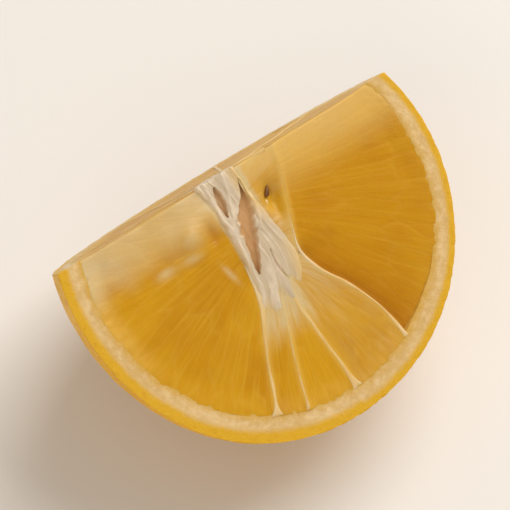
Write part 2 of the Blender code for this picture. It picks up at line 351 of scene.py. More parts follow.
def make_rind():
    """The rind as one closed skin: rows from under the wedge to the rim, over the cut edge, and in.

    Each column starts at the point that rests on the floor and follows the great circle to its own
    point of the rim, crosses the cut edge in a straight line, and comes back along the inside.
    """
    corners = cross_cut_way(np.array([0.0, math.pi]))
    starts = np.arctan2(corners[:, 0], corners[:, 1])
    share = np.arange(LENGTHWISE_COLUMNS) / LENGTHWISE_COLUMNS
    turn = starts[0] + (starts[1] - starts[0]) * share
    under = math.pi * (1.0 - np.arange(CROSS_COLUMNS) / CROSS_COLUMNS)
    lengthwise = np.stack((np.sin(turn), np.cos(turn), np.zeros_like(turn)), axis=-1)
    rim = np.concatenate((lengthwise, cross_cut_way(under)))
    facing_up = np.tile((0.0, 0.0, 1.0), (LENGTHWISE_COLUMNS, 1))
    facing = np.concatenate((facing_up, np.tile((0.0, -1.0, 0.0), (CROSS_COLUMNS, 1))))
    facing[[0, LENGTHWISE_COLUMNS]] = (0.0, -math.sqrt(0.5), math.sqrt(0.5))

    angle = math.acos(-CUT_FROM_MIDDLE / FRUIT_HALF_LENGTH) * (2.0 * share - 1.0)
    down = CUT_FROM_MIDDLE + np.cos(angle)
    radius, reach = rind_reaches(down, np.where(angle < 0.0, RIND_LEFT, RIND_RIGHT))
    below = CUT_FROM_MIDDLE + reach * np.cos(angle)
    on_face = np.stack((radius * np.sin(angle), below, 0.0 * angle), axis=-1)
    ring = cross_rind_reach(under)
    on_cross = np.stack((-ring * np.cos(under), 0.0 * under, -ring * np.sin(under)), axis=-1)
    inner, outer = np.concatenate((on_face, on_cross)), skin(rim)
    wobble = RIND_WOBBLE * roughness_at(inner, RIND_WOBBLE_SIZE, 3)
    wobble = wobble + RIND_RIPPLE * roughness_at(inner, RIND_RIPPLE_SIZE, 5)
    wobble[[0, LENGTHWISE_COLUMNS]] = 0.0
    inwards = (inner - outer) / np.linalg.norm(inner - outer, axis=-1, keepdims=True)
    inner = inner + inwards * wobble[:, None]
    thickness = np.linalg.norm(inner - outer, axis=-1)

    rest = np.array((0.0, math.sin(LEAN), -math.cos(LEAN)))
    sweep = np.arccos(rim @ rest)[None, :, None]
    edge = 1.0 - KNIFE_EDGE / (FRUIT_RADIUS * sweep)
    steps = (np.arange(1, SKIN_ROWS + 1) / SKIN_ROWS)[:, None, None] * edge

    def great_circle(t):
        """Directions a share t of the way from the resting point to the rim."""
        return (np.sin((1.0 - t) * sweep) * rest + np.sin(t * sweep) * rim) / np.sin(sweep)

    ways = great_circle(steps)
    pits = pore_depth(ways)
    lift = SKIN_LUMPS * roughness_at(ways, SKIN_LUMP_SIZE, 21) - pits
    outside = skin(ways) + lift[..., None] * ways
    first = (KNIFE_EDGE / thickness)[None, :]
    across = first + (1.0 - first) * (np.linspace(0.0, 1.0, EDGE_ROWS) ** EDGE_ROW_SPREAD)[:, None]
    cut = outer + (inner - outer) * across[..., None]
    grain = RIND_GRAIN * roughness_at(cut, RIND_GRAIN_SIZE, 31)
    grain = grain - INNER_DIP * np.clip(5.0 * across - 4.0, 0.0, 1.0) ** 2
    cut = cut + grain[..., None] * facing
    middle = np.array((0.0, CUT_FROM_MIDDLE, 0.0))
    inside_ways = great_circle(np.array(INSIDE_ROWS)[:, None, None])
    inside = middle + INNER_SHARE * (skin(inside_ways) - middle)
    lowest = skin(rest)
    poles = np.stack((lowest, middle + INNER_SHARE * (lowest - middle)))
    rows = np.concatenate((outside, cut, inside))
    count, columns = rows.shape[:2]

    shifted = across ** np.where(inner[:, 0] > 0.0, RIGHT_PEEL_SPREAD, 1.0)
    on_skin, on_inside = np.zeros(SKIN_ROWS * columns), np.ones(len(INSIDE_ROWS) * columns)
    depth = np.concatenate((on_skin, shifted.ravel(), on_inside, [0.0, 1.0]))
    pore = np.concatenate(((pits / PORE_DEPTH).ravel(), np.zeros((count - SKIN_ROWS) * columns + 2)))
    points = np.concatenate((rows.reshape(-1, 3), poles))
    values = (("depth", depth), ("pore", pore))
    make_piece("lemon_rind", points, ring_faces(count, columns), rind_material(), values)


make_rind()

# Flesh
# Juicy segments, each packed with long juice sacs that point from the rind to the core. The big left
# and right ones fold over the top edge onto the cut across, and the right one drops away behind its
# wall. Three narrow ones fan out at the tip, and a thin one by the core holds a seed.
# Their colour also holds painted light: painted glare towards the top edge, painted shade behind the
# right wall and beside the swelling, and a painted glow in the seed's pocket.
LEFT_WALL = (
    (0, -5.5), (5, -4.7), (10, -4.5), (15, -4.7), (20, -5.6), (25, -8.0), (30, -10.1), (36, -12.6),
)
SECOND_LINE = (
    (0, -0.2), (5, -0.9), (10, -1.5), (15, -3.2), (20, -3.0), (25, -3.8), (30, -5.5), (36, -7.3),
    (39, -8.1),
)
THIRD_LINE = ((0, 1.0), (10, 0.8), (16, -0.2), (20, -0.5), (28, -0.2), (36, 0.6), (39, 0.9))
RIGHT_WALL = (
    (0, 8.6), (5, 7.6), (10, 5.8), (16, 4.0), (20, 5.0), (24, 7.6), (30, 10.3), (36, 11.6),
)
CORE_EDGE = ((0, 2.0), (5, 2.1), (10, 3.0), (16, 3.9))
CORE_NECK = 16.0
CROSS_WALLS = tuple(math.radians(angle) for angle in (25.0, 63.0, 104.0, 142.0))
CORE_MIDDLE = -1.75
CORE_HALF_WIDTH = 3.75
CORE_BELOW = 4.6
FLESH_SINK = 0.22
RIM_SINK = 0.07
SINK_REACH = 3.0
TUCK_DROP = 0.2
UNDER_RIND = 0.7
TUCK = 0.8
SKIRT = 3.0
FLESH_STEP = 0.17
RIGHT_STEP = 1.2
RIGHT_STEP_REACH = 5.0
WALL_LIFT = 0.1
WALL_LIFT_REACH = 0.6
SLOW_LUMPS = 0.1
UPPER_LUMPS = 0.12
CROSS_LUMPS = 0.08
SWELLING = {"at": (-9.5, 5.5), "size": (3.4, 2.8), "height": 0.7}
SWELLING_TOP = {"at": (-9.7, 5.7), "size": (1.8, 1.6), "height": 0.4}
VALLEY = {"at": (-6.5, 7.0), "size": (1.0, 1.9), "height": -0.5}
SEED_POCKET = {"at": (4.6, 7.4), "size": (1.3, 2.6), "height": -1.2}
MILKY_SPOT = {"at": (-9.7, 5.7), "size": (2.1, 1.9), "height": 1.0}
# The dark spot is painted shade, in the dip beside the swelling.
PAINTED_SHADE_SPOT = {"at": (-6.5, 7.2), "size": (1.1, 2.2), "height": 1.0}
CLEAR_SPOT = {"at": (5.0, 8.2), "size": (1.9, 2.8), "height": 1.25}
# The bright spot is a painted glow in the seed's pocket, as if lit from within.
PAINTED_GLOW_SPOT = {"at": (4.7, 8.2), "size": (1.5, 2.1), "height": 3.5}
TORN_SPOTS = (
    {"at": (-11.0, 8.6), "size": (1.7, 0.75), "height": 1.0},
    {"at": (-15.6, 8.5), "size": (1.7, 0.75), "height": 1.0},
)
FLECK = {"at": (-7.2, 13.7), "size": (0.45, 1.6), "height": 1.0}
FLECK_SLANT = 0.25
FLOW_MIDDLE = 9.0
FLOW_MIDDLE_RIGHT = 3.0
FLOW_HALF = 9.0
CROSS_FLOW_HALF = 0.5
SACS_A_RADIAN = 12.0
SAC_LENGTH = 9.0
SAC_BULGE = 0.035
SAC_SEAM = 0.025
SAC_STREAKS = 0.015
SAC_TIPS = 0.12
PALE_RIM = 3.4
CROSS_RIM = 0.45
THIN_WALL_FOOT = 1.95
THIN_WALL_DEPTH = 1.0
THINNEST = 0.03
EDGE_ROUND = 0.1
EDGE_ROUND_REACH = 0.4
SEGMENT_BREADTH = 21.0
CROSS_BREADTH = 22.0
TIP_BREADTH = 7.0
TIP_LENGTH = 17.0
GOLD = ((0.60, 0.30, 0.006, 1), (0.53, 0.24, 0.004, 1))
BRIGHT_SAC = (0.74, 0.44, 0.03, 1)
STREAK = (0.72, 0.43, 0.03, 1)
SEAM_COLOUR = (0.76, 0.46, 0.08, 1)
# Painted shade colour, behind the right wall and beside the swelling.
PAINTED_SHADE_GOLD = (0.46, 0.175, 0.002, 1)
# Cream by the rind and the walls; also painted glare towards the top edge.
RIM_CREAM_AND_GLARE = (0.80, 0.51, 0.12, 1)
# Milky flesh; also painted glare in the upper left.
MILKY_AND_GLARE = (0.675, 0.53, 0.285, 1)


def follow(line, down):
    """A smooth line through (down, right) points: cubics whose slopes come from the neighbours."""
    x, y = np.array(line, float).T
    slope = np.gradient(y, x)
    inside = np.clip(down, x[0], x[-1])
    k = np.clip(np.searchsorted(x, inside, side="right") - 1, 0, len(x) - 2)
    step = x[k + 1] - x[k]
    t = (inside - x[k]) / step
    start = (2.0 * t**3 - 3.0 * t**2 + 1.0) * y[k] + (t**3 - 2.0 * t**2 + t) * step * slope[k]
    return start + (3.0 * t**2 - 2.0 * t**3) * y[k + 1] + (t**3 - t**2) * step * slope[k + 1]


def bell(distance, width):
    """A smooth bell: 1 where the distance is 0, and nearly 0 beyond twice the width."""
    return np.exp(-((distance / width) ** 2))


def ease(value, start, end):
    """Rises smoothly from 0 at start to 1 at end."""
    t = np.clip((value - start) / (end - start), 0.0, 1.0)
    return t * t * (3.0 - 2.0 * t)


def mound(right, down, form):
    """A rounded rise, or a pit, given by its place, size and height."""
    (right_at, down_at), (wide, long) = form["at"], form["size"]
    return form["height"] * bell(right - right_at, wide) * bell(down - down_at, long)


def rind_edge(down, rind):
    """Distance from the axis to the rind's inner edge at a depth on the lengthwise cut."""
    radius, reach = rind_reaches(down, rind)
    share = np.clip((down - CUT_FROM_MIDDLE) / reach, -1.0, 1.0)
    return radius * np.sqrt(1.0 - share**2)


def rind_inset(right, down):
    """How far a point of the lengthwise cut lies inside the rind's inner edge."""
    radius, reach = rind_reaches(down, np.where(right < 0.0, RIND_LEFT, RIND_RIGHT))
    return radius * (1.0 - np.hypot(right / radius, (down - CUT_FROM_MIDDLE) / reach))


def sac_cells(x, y, seed):
    """Distances to the nearest two points, and the nearest's tone.

    A lattice holds one random point in each of its squares.
    """
    rng = np.random.default_rng(seed)
    points, tones = rng.uniform(0.12, 0.88, (64, 64, 2)), rng.uniform(0.0, 1.0, (64, 64))
    column, row = np.floor(x).astype(int), np.floor(y).astype(int)
    distances, shades = [], []
    for step_x in (-1, 0, 1):
        for step_y in (-1, 0, 1):
            square = (column + step_x) % 64, (row + step_y) % 64
            at = points[square]
            shades.append(tones[square])
            off_x, off_y = column + step_x + at[..., 0] - x, row + step_y + at[..., 1] - y
            distances.append(np.hypot(off_x, off_y))
    distances, shades = np.stack(distances), np.stack(shades)
    tone = np.take_along_axis(shades, distances.argmin(axis=0)[None], axis=0)[0]
    ranked = np.sort(distances, axis=0)
    return ranked[0], ranked[1], tone


def sac_flow(right, down, half):
    """Pattern coordinates that run with the sacs, which leave a line of the given half length.

    They are elliptic: hyperbolas square to the line are counted across the sacs, and the half
    axis of the ellipses round the line is the distance along them.
    """
    shape = np.arccosh((down + 1j * np.abs(right)) / half + 1e-6j)
    return np.sign(right + 1e-9) * shape.imag * SACS_A_RADIAN, half * np.cosh(shape.real) / SAC_LENGTH


def sac_relief(flow, seed):
    """Height of the cut sacs, each a little proud, the share of the seam round it, and its tone."""
    across, along = flow
    bent = across + 0.25 * drift(along * 2.0, across * 0.7, seed + 5)
    nearest, second, tone = sac_cells(bent, along, seed)
    seam = bell(second - nearest, 0.10)
    streaks = drift(across * 5.0, along * 1.5, seed + 9)
    return SAC_BULGE * (1.0 - nearest**2) - SAC_SEAM * seam + SAC_STREAKS * streaks, seam, tone


def wall_nearness(right, down):
    """Share from 0 to 1 that tells how close a point of the lengthwise cut is to a wall.

    It is the highest of a bell round each wall's line. The left ones start below the core.
    """
    share = bell(right - follow(RIGHT_WALL, down), WALL_LIFT_REACH)
    below_core = ease(down, CORE_NECK, CORE_NECK + 3.0)
    for line in (LEFT_WALL, SECOND_LINE, THIRD_LINE):
        near = bell(right - follow(line, down), WALL_LIFT_REACH)
        share = np.maximum(share, near * below_core)
    return share


def sunk(inset):
    """Height of a cut by its distance from the rind: down from the rim's sink to the flesh's.

    Past the rind's inner edge, under the rind, it drops again.
    """
    middle = (FLESH_SINK - RIM_SINK) * ease(inset, 0.0, SINK_REACH)
    return -RIM_SINK - middle - TUCK_DROP * ease(-inset, 0.4, 0.7)


def lengthwise_height(right, down):
    """Height of the flesh on the lengthwise cut, without its sacs.

    It sinks below the rind, swells softly in the left segment, drops behind the right wall, has a
    pocket for the seed, and rises a little to the walls.
    """
    height = sunk(rind_inset(right, down))
    off = right - follow(RIGHT_WALL, down)
    behind = ease(off, 0.0, 0.4) * np.exp(-np.abs(off) / RIGHT_STEP_REACH)
    height = height - RIGHT_STEP * behind * ease(down, CORE_NECK - 2.0, CORE_NECK + 2.0)
    for form in (SWELLING, SWELLING_TOP, VALLEY):
        height = height + mound(right, down, form)
    height = height + mound(right, down, SEED_POCKET) * ease(-off, 0.1, 1.6)
    upper_left = (right < 0.0) * ease(13.0 - down, 0.0, 4.0)
    height = height + UPPER_LUMPS * drift(right / 2.2, down / 2.6, 42) * upper_left
    height = height + WALL_LIFT * wall_nearness(right, down)
    return height + SLOW_LUMPS * drift(right / 5.0, down / 5.0, 41)


def core_reach(turn):
    """Distance from the axis to the core's edge on the cut across: a ray meets a half ellipse."""
    a, b, m = CORE_HALF_WIDTH, CORE_BELOW, CORE_MIDDLE
    cosine, sine = -np.cos(turn), np.sin(turn)
    square = (cosine / a) ** 2 + (sine / b) ** 2
    line = cosine * m / a**2
    return (line + np.sqrt(line**2 - square * ((m / a) ** 2 - 1.0))) / square


def cross_height(turn, radius):
    """Height of the flesh on the cut across, without its sacs: it sinks below the rind."""
    return sunk(cross_rind_reach(turn) - radius) + CROSS_LUMPS * drift(radius / 4.0, turn * 4.0, 43)


def milk_and_glare(right, down, streaks):
    """Share of milky flesh, and of painted glare, on the lengthwise cut: three kinds of patches added
    up.

    They are the upper left, paler towards the top edge as painted glare over milky flesh, with its
    torn spots, less under the painted shade beside the swelling, then streaks to the right of the
    third wall, and the tops of the narrow segments below the core.
    """
    # Painted glare: the upper left pales towards the top edge, over milky flesh.
    upper = ease(9.5 - down + 1.2 * drift(right / 3.0, down / 3.0, 45), 0.0, 7.0) * (right < 0.0)
    upper = np.maximum(upper, mound(right, down, MILKY_SPOT))
    upper = upper * (1.0 - 0.6 * mound(right, down, PAINTED_SHADE_SPOT))
    torn = sum(mound(right, down, form) for form in TORN_SPOTS)
    torn = torn + mound(right - FLECK_SLANT * (down - FLECK["at"][1]), down, FLECK)
    left = 0.85 * np.maximum(upper, torn * (0.5 + 0.5 * streaks))
    past_third = right - follow(THIRD_LINE, down)
    fan = ease(past_third, 0.0, 1.2) * (right < follow(RIGHT_WALL, down))
    fan = fan * (0.15 + 0.75 * bell(down - 15.5, 8.0)) * (0.25 + 0.8 * streaks)
    between = ease(right - follow(LEFT_WALL, down), -0.4, 0.3) * ease(2.0 - past_third, 0.0, 1.2)
    below_core = between * ease(-down, -28.0, -22.0) * (0.5 + 0.8 * streaks)
    return left + fan + 1.2 * below_core


def flesh_face(right, down, seed):
    """A stretch of flesh on the lengthwise cut: its points, pattern coordinates and six values.

    Its height is the cut's plus the sacs' relief, with ragged tips at the rind. Of the values, seam
    is the gap between sacs; rim rises to the rind and the walls, and carries painted glare towards the
    top edge on the right half; pale is the milky share, with painted glare towards the top edge; the
    fourth value is painted shade behind the right wall and beside the swelling; tone is the sac's
    own, with a painted glow in the seed's pocket; and dry is 0.
    """
    off, inset = right - follow(RIGHT_WALL, down), rind_inset(right, down)
    in_right, by_core = off > 0.0, off < 0.0
    middle = np.where(by_core, FLOW_MIDDLE, FLOW_MIDDLE_RIGHT)
    flow = sac_flow(right, down - middle, FLOW_HALF)
    relief, seam, tone = sac_relief(flow, seed)
    streaks = 0.5 + 0.5 * drift(flow[0] * 3.0, flow[1] * 4.0, seed + 3)
    tips = SAC_TIPS * (streaks - 0.4) * bell(inset, 0.45)
    height = lengthwise_height(right, down) + (relief + tips) * ease(down, 0.0, 0.8)
    # Painted shade: darker behind the right wall and lower down the right segment, and in the dip beside
    # the swelling.
    behind = np.exp(-np.abs(off) / 9.0) * ease(down, 10.0, 22.0)
    painted_shade = in_right * np.maximum(behind, 0.35 * ease(down, 2.0, 9.0))
    painted_shade = np.maximum(painted_shade, 0.7 * mound(right, down, PAINTED_SHADE_SPOT))
    in_left = 0.1 + 0.9 * ease(-down, -24.0, -12.0)
    rim_share = np.where(right < follow(LEFT_WALL, down), in_left, 0.4)
    rim_share = np.where(in_right, 0.1, rim_share)
    rim = (1.0 - ease(inset, 0.0, PALE_RIM)) * (0.55 + 0.45 * streaks) * rim_share
    # Painted glare: paler towards the top edge on the right half, standing in for the back light's
    # sheen.
    glare = np.where(in_right, ease(-down, -10.0, 0.5), ease(-down, -5.5, 0.0))
    glare = 1.2 * glare * (right > 0.0)
    clear = np.minimum(mound(right, down, CLEAR_SPOT), 1.0) * by_core
    rim = np.maximum(np.maximum(rim, glare) * (1.0 - clear), 0.8 * wall_nearness(right, down))
    pale = np.clip(milk_and_glare(right, down, streaks) + 0.25 * glare, 0.0, 1.0) * (1.0 - clear)
    # Painted glow: the seed's pocket takes a brighter, more saturated sac colour.
    tone = tone + mound(right, down, PAINTED_GLOW_SPOT) * by_core
    values = np.stack((seam, rim, pale, painted_shade, tone, 0.0 * rim), axis=-1)
    return np.stack((right, down, height), axis=-1), np.stack(flow, axis=-1), values


def flesh_cross(turn, radius, seed):
    """A stretch of flesh on the cut across: its points, pattern coordinates and six values.

    Its height is the cut's plus the sacs' relief. It is paler by the rind and the top edge, has
    no painted shade, and is dry.
    """
    right, out = -radius * np.cos(turn), -radius * np.sin(turn)
    flow = sac_flow(out, right - CORE_MIDDLE, CROSS_FLOW_HALF)
    relief, seam, tone = sac_relief(flow, seed)
    height = cross_height(turn, radius) + relief * ease(-out, 0.0, 0.8)
    rim = CROSS_RIM * (1.0 - ease(cross_rind_reach(turn) - radius, 0.0, PALE_RIM))
    pale = 0.1 * ease(out, -9.0, 0.0)
    values = np.stack((seam, rim, pale, 0.0 * rim, tone, 1.0 + 0.0 * rim), axis=-1)
    return np.stack((right, -height, out), axis=-1), np.stack(flow, axis=-1), values


def grid_quads(count, columns):
    """The quads of a grid of points, row by row."""
    here = np.arange(count * columns).reshape(count, columns)
    corners = (here[:-1, :-1], here[:-1, 1:], here[1:, 1:], here[1:, :-1])
    return np.stack(corners, axis=-1).reshape(-1, 4)


def closing(sheet, inwards, apex):
    """Closes a sheet into a solid: a straight skirt down from its border, then a cone to an apex."""
    count, columns = sheet.shape[:2]
    index = np.arange(count * columns).reshape(count, columns)
    loop = np.concatenate((index[0, :-1], index[:-1, -1], index[-1, :0:-1], index[:0:-1, 0]))
    lower = sheet.reshape(-1, 3)[loop] + inwards.reshape(-1, 3)[loop] * SKIRT
    ring = count * columns + np.arange(len(loop))
    tip = np.full_like(ring, ring[-1] + 1)
    ahead, ring_ahead = np.roll(loop, -1), np.roll(ring, -1)
    skirt = np.stack((ahead, loop, ring, ring_ahead), axis=-1)
    cone = np.stack((ring_ahead, ring, tip), axis=-1)
    return np.concatenate((lower, np.asarray(apex, float)[None])), skirt, cone


def flesh_material():
    """Wet golden flesh: glassy sacs with paler seams, paler by the rind and the walls, with painted
    glare towards the top edge, painted shade behind the right wall and beside the swelling, and a
    painted glow in the seed's pocket.

    The values are seam, rim, pale, the painted shade, tone and dry, and the flow map runs with the sacs.
    """
    material, tree, shader = new_material(
        "lemon_flesh", subsurface_weight=0.4, subsurface_scale=0.0006, subsurface_radius=GLOW_THROUGH,
        ior=1.24, coat_weight=0.1, coat_roughness=0.08
    )
    where = in_frame(tree)
    flow = add_node(tree, "ShaderNodeUVMap", uv_map="flow").outputs[0]
    streaky = add_node(tree, "ShaderNodeMapping", (("Vector", flow), ("Scale", (3.2, 0.8, 1.0))))
    fine = add_node(tree, "ShaderNodeMapping", (("Vector", flow), ("Scale", (9.0, 1.6, 1.0))))
    cloud = mottle(tree, where, 110.0)
    streaks = mottle(tree, streaky.outputs[0], 1.0, 4.0, 0.6)
    hairs = mottle(tree, fine.outputs[0], 1.0, 3.0, 0.6)
    colour = blend(tree, spread_share(tree, cloud, 0.35, 0.7), *GOLD)
    colour = blend(tree, product(tree, attribute(tree, "tone"), 0.18), colour, BRIGHT_SAC)
    colour = blend(tree, spread_share(tree, streaks, 0.45, 0.75, 0.0, 0.32), colour, STREAK)
    colour = blend(tree, product(tree, attribute(tree, "seam"), 0.13), colour, SEAM_COLOUR)
    # Painted shade, in dark gold.
    colour = blend(tree, product(tree, attribute(tree, "painted_shade"), 0.8), colour, PAINTED_SHADE_GOLD)
    # Cream by the rind and the walls, with painted glare towards the top edge.
    colour = blend(tree, product(tree, attribute(tree, "rim"), 0.6), colour, RIM_CREAM_AND_GLARE)
    uneven = product(tree, attribute(tree, "pale"), spread_share(tree, cloud, 0.25, 0.7, 0.65, 1.0))
    # Milky patches, with painted glare in the upper left.
    colour = blend(tree, uneven, colour, MILKY_AND_GLARE)
    gloss = spread_share(tree, hairs, 0.3, 0.7, 0.18, 0.32)
    gloss = total(tree, gloss, product(tree, attribute(tree, "dry"), 0.2))
    height = total(tree, total(tree, hairs, streaks), mottle(tree, where, 1500.0, 2.0))
    dress(tree, shader, colour, gloss, height, 0.22, 0.00016)
    return material


flesh = flesh_material()


def make_flesh(name, parts, apex):
    """Joins stretches of flesh, each (points, flow, values, inward way), into one folded solid.

    Stretches share their border row, and each keeps its own pattern coordinates.
    """
    points, quads, flows, values, inwards, rows = [], [], [], [], [], 0
    columns = parts[0][0].shape[1]
    for number, (sheet, flow, value, inward) in enumerate(parts):
        skip = 1 if number else 0
        count = len(sheet)
        local = grid_quads(count, columns)
        quads.append(local + (rows - skip) * columns)
        flows.append(flow.reshape(-1, 2)[local])
        points.append(sheet[skip:])
        values.append(value[skip:])
        inwards.append(np.broadcast_to(np.array(inward, float), sheet[skip:].shape))
        rows += count - skip
    sheet, value = np.concatenate(points), np.concatenate(values)
    extra, skirt, cone = closing(sheet, np.concatenate(inwards), apex)
    quads.append(skirt)
    flows.append(np.zeros((len(skirt), 4, 2)))
    filler = np.zeros((len(extra), value.shape[-1]))
    value = np.concatenate((value.reshape(-1, value.shape[-1]), filler))
    named = [(key, value[:, k]) for k, key in enumerate(("seam", "rim", "pale", "painted_shade", "tone", "dry"))]
    faces = (np.concatenate(quads), cone)
    corners = [np.concatenate(flows), np.zeros((len(cone), 3, 2))]
    solid = np.concatenate((sheet.reshape(-1, 3), extra))
    make_piece(name, solid, faces, flesh, named, corners)


def steps(length):
    """How many rows or columns of about the flesh's step fit a length, ends included."""
    return max(4, math.ceil(length / FLESH_STEP) + 1)


def fold(face, other):
    """Makes two sheets meet in one soft edge.

    Each drops by the square of its nearness to the edge, and gives way by the other's height there.
    """
    down, out = face[..., 1].copy(), other[..., 2].copy()
    face[..., 2] -= EDGE_ROUND * np.clip(1.0 - down / EDGE_ROUND_REACH, 0.0, 1.0) ** 2
    other[..., 1] += EDGE_ROUND * np.clip(1.0 + out / EDGE_ROUND_REACH, 0.0, 1.0) ** 2
    face[..., 1] += other[0, :, 1] * np.clip(1.0 - down, 0.0, 1.0)
    other[..., 2] += face[-1, :, 2] * np.clip(1.0 + out, 0.0, 1.0)
    other[0] = face[-1]


def thin_wall_reach(turn):
    """Distance from the axis to the thin wall by the right edge, a straight line down to the core.

    A ray meets the line where its share of the line's normal is the same as the line's own.
    """
    start = RIGHT_WALL[0][1]
    normal = np.array((THIN_WALL_DEPTH, THIN_WALL_FOOT - start))
    normal /= math.hypot(*normal)
    side, under = -np.cos(turn), np.sin(turn)
    facing = side * normal[0] - under * normal[1]
    return np.where(turn > 0.6 * math.pi, start * normal[0] / np.maximum(facing, 0.02), 0.0)


def make_side_segment(name, rind_side, wall, end, cross, tuck, apex, seed):
    """A big segment: from the tip up the lengthwise cut, over the top edge and down the cut across.

    Columns run from under the rind to the wall, and on under the core where tuck is 1. Rows are
    depths, and then turns round the core.
    """
    sign = -1.0 if rind_side == RIND_LEFT else 1.0
    share = np.linspace(0.0, 1.0, steps(SEGMENT_BREADTH))[None, :]
    down = np.linspace(end, 0.0, steps(end))[:, None]
    outer = sign * (rind_edge(down, rind_side) + UNDER_RIND)
    inner = follow(wall, down) - sign * TUCK * tuck * ease(-down, -16.0, -13.0)
    face = flesh_face(outer + (inner - outer) * share, down + 0.0 * share, seed)
    turn = np.linspace(*cross, steps(abs(cross[1] - cross[0]) * CROSS_BREADTH))[:, None]
    near = np.maximum(core_reach(turn) - TUCK * tuck, thin_wall_reach(turn))
    far = cross_rind_reach(turn) + UNDER_RIND
    other = flesh_cross(turn + 0.0 * share, far + (near - far) * share, seed + 50)
    fold(face[0], other[0])
    make_flesh(name, [face + ((0.0, 0.0, -1.0),), other + ((0.0, 0.35, -0.9),)], apex)


def make_cross_segment(name, start, end, seed):
    """A whole segment, seen only on the cut across, between two of its walls.

    Columns run straight from under the rind to under the core, and rows are turns round it.
    """
    share = np.linspace(0.0, 1.0, steps(SEGMENT_BREADTH))[None, :]
    turn = np.linspace(start, end, steps((end - start) * CROSS_BREADTH))[:, None]
    near, far = core_reach(turn) - TUCK, cross_rind_reach(turn) + UNDER_RIND
    part = flesh_cross(turn + 0.0 * share, far + (near - far) * share, seed)
    middle = 0.5 * (start + end)
    apex = (-13.0 * math.cos(middle), 9.0, -13.0 * math.sin(middle))
    make_flesh(name, [part + ((0.0, 1.0, 0.0),)], apex)


def make_tip_segment(name, left, right, top, seed):
    """A narrow segment at the tip, between two lines, from the core down to under the rind.

    Its lower end is found by repeating: the rind's depth where the last guess crosses the lines.
    """
    share = np.linspace(0.0, 1.0, steps(TIP_BREADTH))[None, :]
    bottom = np.full_like(share, 36.0)
    for _ in range(6):
        across = follow(left, bottom) + (follow(right, bottom) - follow(left, bottom)) * share
        radius = FRUIT_RADIUS - np.where(across < 0.0, RIND_LEFT, RIND_RIGHT)
        reach = FRUIT_HALF_LENGTH - RIND_TIP + UNDER_RIND
        bottom = CUT_FROM_MIDDLE + reach * np.sqrt(1.0 - (across / radius) ** 2)
    down = top + (bottom - top) * np.linspace(0.0, 1.0, steps(TIP_LENGTH))[:, None]
    across = follow(left, down) + (follow(right, down) - follow(left, down)) * share
    part = flesh_face(across, down, seed)
    apex = (float(across.mean()), float(down.mean()), -6.0)
    make_flesh(name, [part + ((0.0, 0.0, -1.0),)], apex)


def make_seed_segment(seed):
    """The thin segment between the core and the right wall, with a sliver of it on the cut across.

    Columns run from under the core to the wall. The sliver's depth falls evenly along them, from
    the thin wall's foot to its top.
    """
    share = np.linspace(0.0, 1.0, 34)[None, :]
    down = np.linspace(CORE_NECK, 0.0, 84)[:, None]
    left, right = follow(CORE_EDGE, down) - TUCK, follow(RIGHT_WALL, down) + 0.1
    face = flesh_face(left + (right - left) * share, down + 0.0 * share, seed)
    across = face[0][-1, :, 0]
    thin = THIN_WALL_DEPTH * (across[-1] - across) / (across[-1] - across[0])
    out = np.linspace(0.0, 1.0, 7)[:, None] * np.maximum(thin, THINNEST)[None, :]
    turn, radius = np.arctan2(out, -across[None, :]), np.hypot(out, across[None, :])
    other = flesh_cross(turn, radius, seed + 50)
    fold(face[0], other[0])
    parts = [face + ((0.0, 0.0, -1.0),), other + ((0.0, 0.35, -0.9),)]
    make_flesh("flesh_by_core", parts, (4.5, 6.0, -6.0))


make_side_segment(
    "flesh_left", RIND_LEFT, LEFT_WALL, 34.7, (0.0, CROSS_WALLS[0]), 1, (-13.0, 12.0, -9.0), 61
)
make_side_segment(
    "flesh_right", RIND_RIGHT, RIGHT_WALL, 35.2, (math.pi, CROSS_WALLS[3]), 0, (14.0, 12.0, -9.0), 62
)
for number in range(3):
    walls = CROSS_WALLS[number : number + 2]
    make_cross_segment(f"flesh_under_{number + 1}", walls[0], walls[1], 70 + number)
make_tip_segment("flesh_tip_left", LEFT_WALL, SECOND_LINE, 18.0, 81)
make_tip_segment("flesh_tip_middle", SECOND_LINE, THIRD_LINE, 18.0, 82)
make_tip_segment("flesh_tip_right", THIRD_LINE, RIGHT_WALL, 16.5, 83)
make_seed_segment(84)

# Walls
# Thin cream skins between the segments, like wet paper on edge. The flesh has drawn back a little
# and left them standing just proud. They run from the core into the pith and grow out of both.
WALL_BELOW = 2.6
THIN_WALL_BELOW = 0.5
WALL_CROWN = 0.1
WALL_WANDER = 0.09
WALL_ROUGH = 0.015
WALL_STEP = 0.16
LOWEST = 38.8
FOOT_REACH = 0.8
FOOT_DIP = 0.3
CROSS_WALL_HALF_WIDTH = 0.2
CROSS_WALL_PROUD = 0.14
THIN_WALL_HALF_WIDTH = 0.14
THIN_WALL_PROUD = -0.05
WALL_CREAM = ((0.78, 0.55, 0.24, 1), (0.70, 0.44, 0.12, 1))
WALL_PALE = (0.76, 0.60, 0.36, 1)


def wall_material():
    """Moist cream skin, nearly white where it is thick, with fine lengthwise fibres."""
    material, tree, shader = new_material(
        "lemon_wall", subsurface_weight=0.3, subsurface_scale=0.0004, subsurface_radius=(1.0, 0.7, 0.35),
        ior=1.38, coat_weight=0.35, coat_roughness=0.25
    )
    where = in_frame(tree)
    cloud, fibres = mottle(tree, where, 240.0), mottle(tree, where, 1400.0)
    cream = blend(tree, spread_share(tree, cloud, 0.3, 0.7), *WALL_CREAM)
    colour = blend(tree, attribute(tree, "thick"), cream, WALL_PALE)
    gloss = spread_share(tree, fibres, 0.3, 0.7, 0.35, 0.5)
    dress(tree, shader, colour, gloss, fibres, 0.3, 0.0001)
    return material


wall = wall_material()


